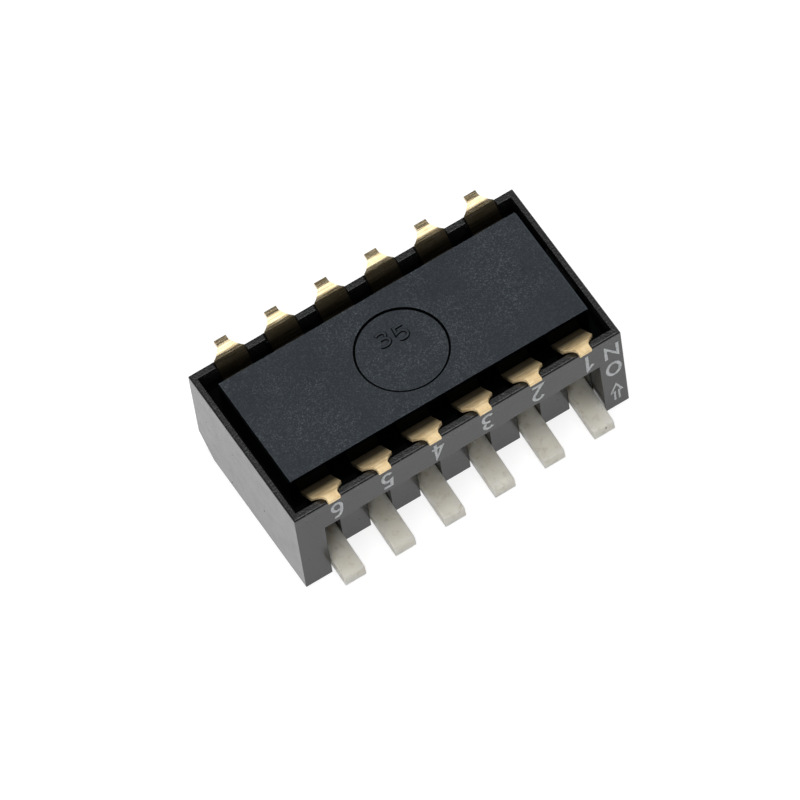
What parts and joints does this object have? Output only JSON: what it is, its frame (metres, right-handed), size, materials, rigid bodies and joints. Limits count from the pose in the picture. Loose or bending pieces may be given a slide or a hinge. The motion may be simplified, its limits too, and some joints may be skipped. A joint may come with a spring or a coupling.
{
  "type": "dip switch",
  "caption": "Piano-style surface-mount DIP switch: a black moulded cover and base, with a row of side levers and two rows of bent terminals.",
  "frame": {"origin": "centre of the cover's flat top face, on which the switch rests with its terminals up", "axes": "+X along the row towards position 1, +Y to the back, away from the levers, +Z out of the mounting side"},
  "size_m": [0.0164, 0.0103, 0.0062],
  "materials": {
    "cover_plastic": "matte",
    "base_plastic": "matte",
    "lever_plastic": "satin",
    "terminal_metal": "gold plated",
    "contact_metal": "gold plated"
  },
  "bodies": {
    "housing": {"cover": "cover_plastic", "base": "base_plastic", "front_terminal_1": "terminal_metal", "front_terminal_2": "terminal_metal", "front_terminal_3": "terminal_metal", "front_terminal_4": "terminal_metal", "front_terminal_5": "terminal_metal", "front_terminal_6": "terminal_metal", "back_terminal_1": "terminal_metal", "back_terminal_2": "terminal_metal", "back_terminal_3": "terminal_metal", "back_terminal_4": "terminal_metal", "back_terminal_5": "terminal_metal", "back_terminal_6": "terminal_metal"},
    "rocker_1": {"lever_1": "lever_plastic", "bridge_contact_1": "contact_metal"},
    "rocker_2": {"lever_2": "lever_plastic", "bridge_contact_2": "contact_metal"},
    "rocker_3": {"lever_3": "lever_plastic", "bridge_contact_3": "contact_metal"},
    "rocker_4": {"lever_4": "lever_plastic", "bridge_contact_4": "contact_metal"},
    "rocker_5": {"lever_5": "lever_plastic", "bridge_contact_5": "contact_metal"},
    "rocker_6": {"lever_6": "lever_plastic", "bridge_contact_6": "contact_metal"}
  },
  "joints": [
    {"name": "lever_1_pivot", "type": "hinge", "parent": "housing", "child": "rocker_1", "pos_m": [0.00642, -0.00118, 0.0022], "axis": [-1, 0, 0], "range_deg": [0, 26]},
    {"name": "lever_2_pivot", "type": "hinge", "parent": "housing", "child": "rocker_2", "pos_m": [0.00388, -0.00118, 0.0022], "axis": [-1, 0, 0], "range_deg": [0, 26]},
    {"name": "lever_3_pivot", "type": "hinge", "parent": "housing", "child": "rocker_3", "pos_m": [0.00134, -0.00118, 0.0022], "axis": [-1, 0, 0], "range_deg": [0, 26]},
    {"name": "lever_4_pivot", "type": "hinge", "parent": "housing", "child": "rocker_4", "pos_m": [-0.0012, -0.00118, 0.0022], "axis": [-1, 0, 0], "range_deg": [0, 26]},
    {"name": "lever_5_pivot", "type": "hinge", "parent": "housing", "child": "rocker_5", "pos_m": [-0.00374, -0.00118, 0.0022], "axis": [-1, 0, 0], "range_deg": [0, 26]},
    {"name": "lever_6_pivot", "type": "hinge", "parent": "housing", "child": "rocker_6", "pos_m": [-0.00628, -0.00118, 0.0022], "axis": [-1, 0, 0], "range_deg": [0, 26]}
  ]
}
